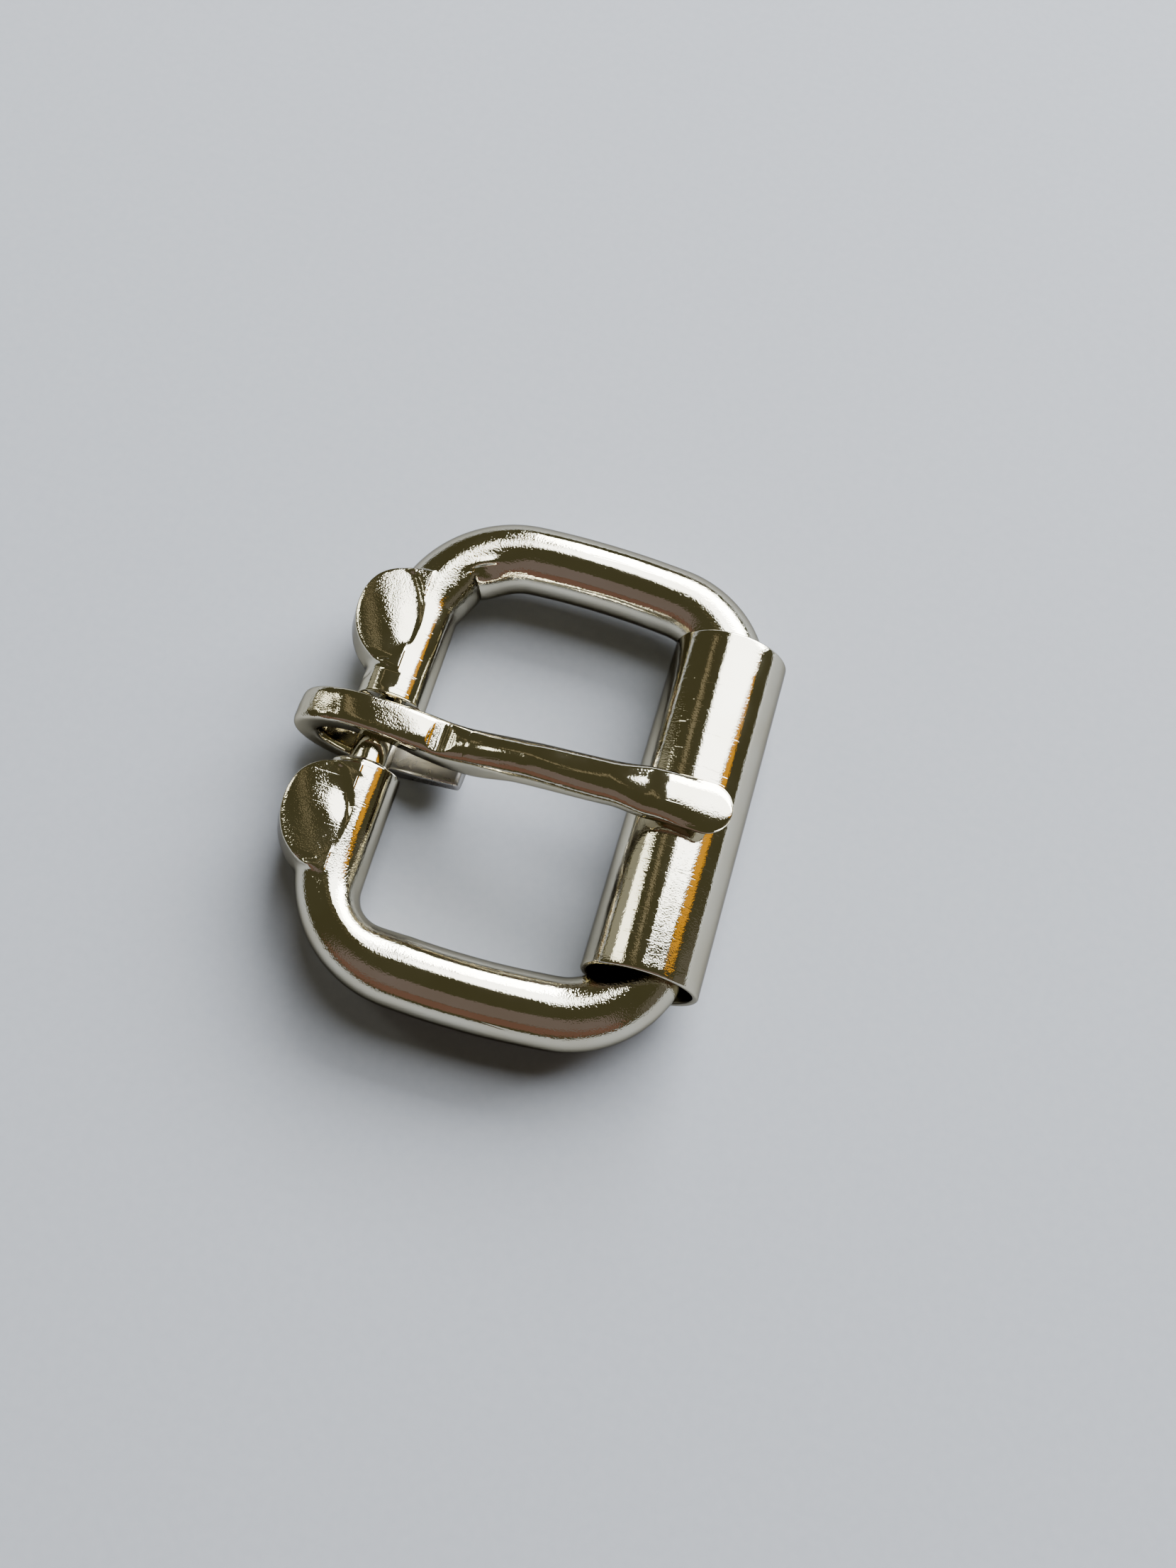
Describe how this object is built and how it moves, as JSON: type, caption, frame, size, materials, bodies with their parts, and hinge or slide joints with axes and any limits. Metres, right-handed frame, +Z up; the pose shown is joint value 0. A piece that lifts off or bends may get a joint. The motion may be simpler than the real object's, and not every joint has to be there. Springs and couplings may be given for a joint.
{
  "type": "roller_buckle",
  "caption": "Bright nickel-plated roller buckle for a 25 mm strap: bent round-wire frame with pressed heel stops, a loose sheet roller and a curled, flattened tongue.",
  "frame": {"origin": "on the surface that the buckle lies on, under the middle of its bounding box", "axes": "X runs from the heel bar to the roller, Y along the heel bar and the roller, Z up through the flat buckle"},
  "size_m": [0.0322, 0.0374, 0.0097],
  "materials": {
    "frame_plate": "polished",
    "roller_plate": "polished",
    "tongue_plate": "polished"
  },
  "bodies": {
    "frame": {"frame": "frame_plate"},
    "roller": {"roller": "roller_plate"},
    "tongue": {"tongue": "tongue_plate"}
  },
  "joints": [
    {"name": "tongue_swing", "type": "hinge", "parent": "frame", "child": "tongue", "pos_m": [-0.0101, 0, 0.00325], "axis": [0, -1, 0], "range_deg": [0, 180]},
    {"name": "roller_turn", "type": "hinge", "parent": "frame", "child": "roller", "pos_m": [0.0121, 0, 0.00405], "axis": [0, 1, 0], "continuous": true}
  ]
}
